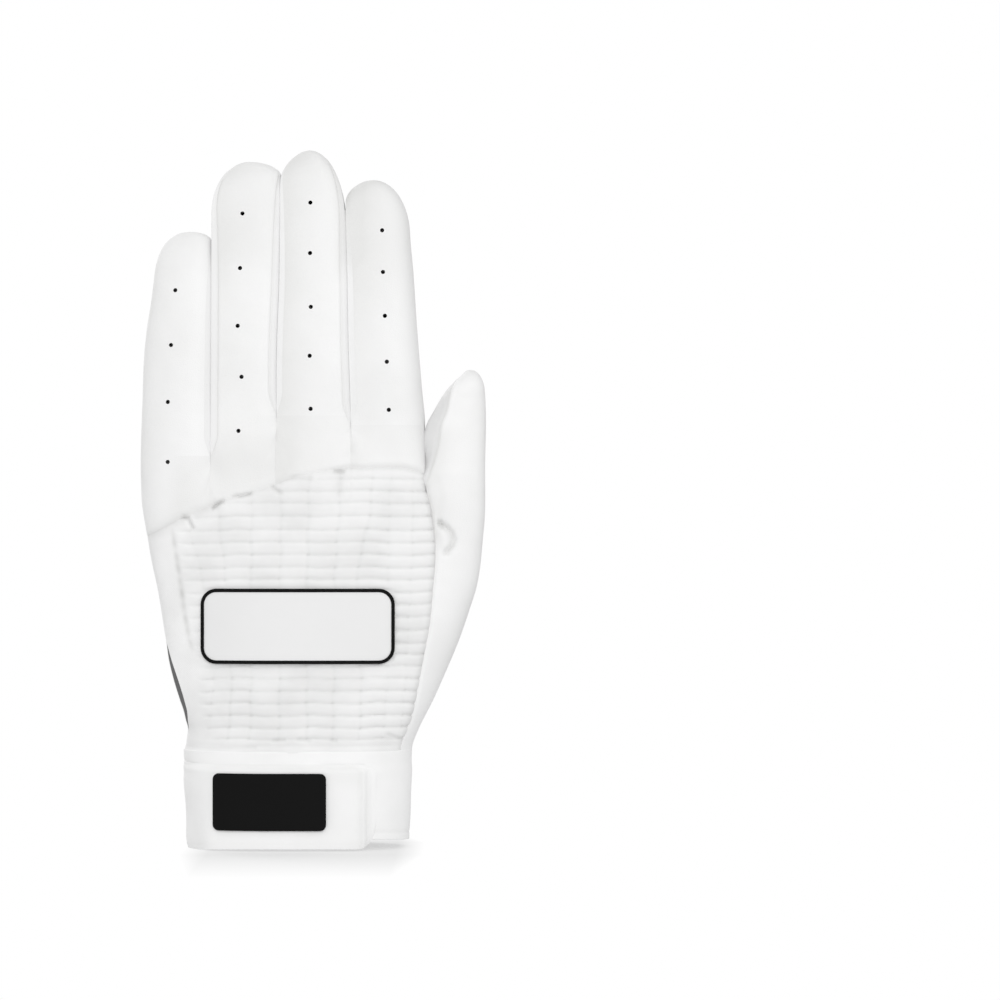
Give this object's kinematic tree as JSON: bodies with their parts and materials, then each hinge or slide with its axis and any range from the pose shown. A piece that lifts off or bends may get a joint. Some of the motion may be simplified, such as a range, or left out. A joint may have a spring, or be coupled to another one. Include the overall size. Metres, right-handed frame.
{
  "type": "batting glove",
  "caption": "White batting glove for the left hand: leather fingers and palm, shirred elastic back, cuff with a hook-and-loop strap, flexing finger, thumb and strap joints.",
  "frame": {"origin": "middle of the wrist opening, level with the lower edge of the strap", "axes": "+Z towards the fingertips, +X towards the thumb, +Y out of the palm, so the back of the hand faces -Y"},
  "size_m": [0.1121, 0.04, 0.2278],
  "materials": {
    "leather_white": "soft matte, fine grain",
    "strip_leather": "soft matte",
    "shirred_elastic": "pleated stretch knit",
    "cuff_fabric": "smooth padded knit",
    "strap_fabric": "smooth coated knit",
    "tape": "hook and loop",
    "gusset_stretch": "dark stretch knit",
    "badge_rubber": "satin moulded",
    "black_rubber": "satin moulded"
  },
  "bodies": {
    "hand": {"knuckle_yoke": "leather_white", "palm": "leather_white", "thumb_base_back": "leather_white", "thumb_base_palm": "leather_white", "shirred_back": "shirred_elastic", "web_little_ring": "strip_leather", "web_ring_middle": "strip_leather", "web_middle_index": "strip_leather", "web_thumb": "strip_leather", "cuff_back": "cuff_fabric", "cuff_palm": "cuff_fabric", "wrist_gusset": "gusset_stretch", "badge_plate": "badge_rubber", "badge_border": "black_rubber", "loop_pad": "tape", "strap_base": "strap_fabric"},
    "strap": {"strap": "strap_fabric", "hook_pad": "tape", "strap_patch": "black_rubber"},
    "thumb": {"thumb_back": "leather_white", "thumb_front": "leather_white", "thumb_gusset": "strip_leather"},
    "little_lower": {"little_lower_back": "leather_white", "little_lower_front": "leather_white", "little_lower_strip_thumbward": "strip_leather"},
    "little_upper": {"little_upper_back": "leather_white", "little_upper_front": "leather_white", "little_upper_strip_thumbward": "strip_leather"},
    "ring_lower": {"ring_lower_back": "leather_white", "ring_lower_front": "leather_white", "ring_lower_strip_littleward": "strip_leather", "ring_lower_strip_thumbward": "strip_leather"},
    "ring_upper": {"ring_upper_back": "leather_white", "ring_upper_front": "leather_white", "ring_upper_strip_littleward": "strip_leather", "ring_upper_strip_thumbward": "strip_leather"},
    "middle_lower": {"middle_lower_back": "leather_white", "middle_lower_front": "leather_white", "middle_lower_strip_littleward": "strip_leather", "middle_lower_strip_thumbward": "strip_leather"},
    "middle_upper": {"middle_upper_back": "leather_white", "middle_upper_front": "leather_white", "middle_upper_strip_littleward": "strip_leather", "middle_upper_strip_thumbward": "strip_leather"},
    "index_lower": {"index_lower_back": "leather_white", "index_lower_front": "leather_white", "index_lower_strip_littleward": "strip_leather"},
    "index_upper": {"index_upper_back": "leather_white", "index_upper_front": "leather_white", "index_upper_strip_littleward": "strip_leather"}
  },
  "joints": [
    {"name": "little_base_fold", "type": "hinge", "parent": "hand", "child": "little_lower", "pos_m": [-0.0397, 0.0103, 0.13615], "axis": [-1, 0, 0], "range_deg": [0, 80]},
    {"name": "little_middle_fold", "type": "hinge", "parent": "little_lower", "child": "little_upper", "pos_m": [-0.0393, 0.0097, 0.158], "axis": [-1, 0, 0], "range_deg": [0, 90]},
    {"name": "ring_base_fold", "type": "hinge", "parent": "hand", "child": "ring_lower", "pos_m": [-0.0178, 0.0103, 0.15015], "axis": [-1, 0, 0], "range_deg": [0, 80]},
    {"name": "ring_middle_fold", "type": "hinge", "parent": "ring_lower", "child": "ring_upper", "pos_m": [-0.0178, 0.0102, 0.174], "axis": [-1, 0, 0], "range_deg": [0, 90]},
    {"name": "middle_base_fold", "type": "hinge", "parent": "hand", "child": "middle_lower", "pos_m": [0.0041, 0.0103, 0.15015], "axis": [-1, 0, 0], "range_deg": [0, 80]},
    {"name": "middle_middle_fold", "type": "hinge", "parent": "middle_lower", "child": "middle_upper", "pos_m": [0.0041, 0.0102, 0.176], "axis": [-1, 0, 0], "range_deg": [0, 90]},
    {"name": "index_base_fold", "type": "hinge", "parent": "hand", "child": "index_lower", "pos_m": [0.0282, 0.0103, 0.14665], "axis": [-1, 0, 0], "range_deg": [0, 80]},
    {"name": "index_middle_fold", "type": "hinge", "parent": "index_lower", "child": "index_upper", "pos_m": [0.0272, 0.01, 0.17], "axis": [-1, 0, 0], "range_deg": [0, 90]},
    {"name": "thumb_fold", "type": "hinge", "parent": "hand", "child": "thumb", "pos_m": [0.0515, 0.0109, 0.12215], "axis": [-1, 0, 0], "range_deg": [0, 60]},
    {"name": "strap_opening", "type": "hinge", "parent": "hand", "child": "strap", "pos_m": [-0.0388, 0, 0.0145], "axis": [0, 0, -1], "range_deg": [0, 130]}
  ]
}
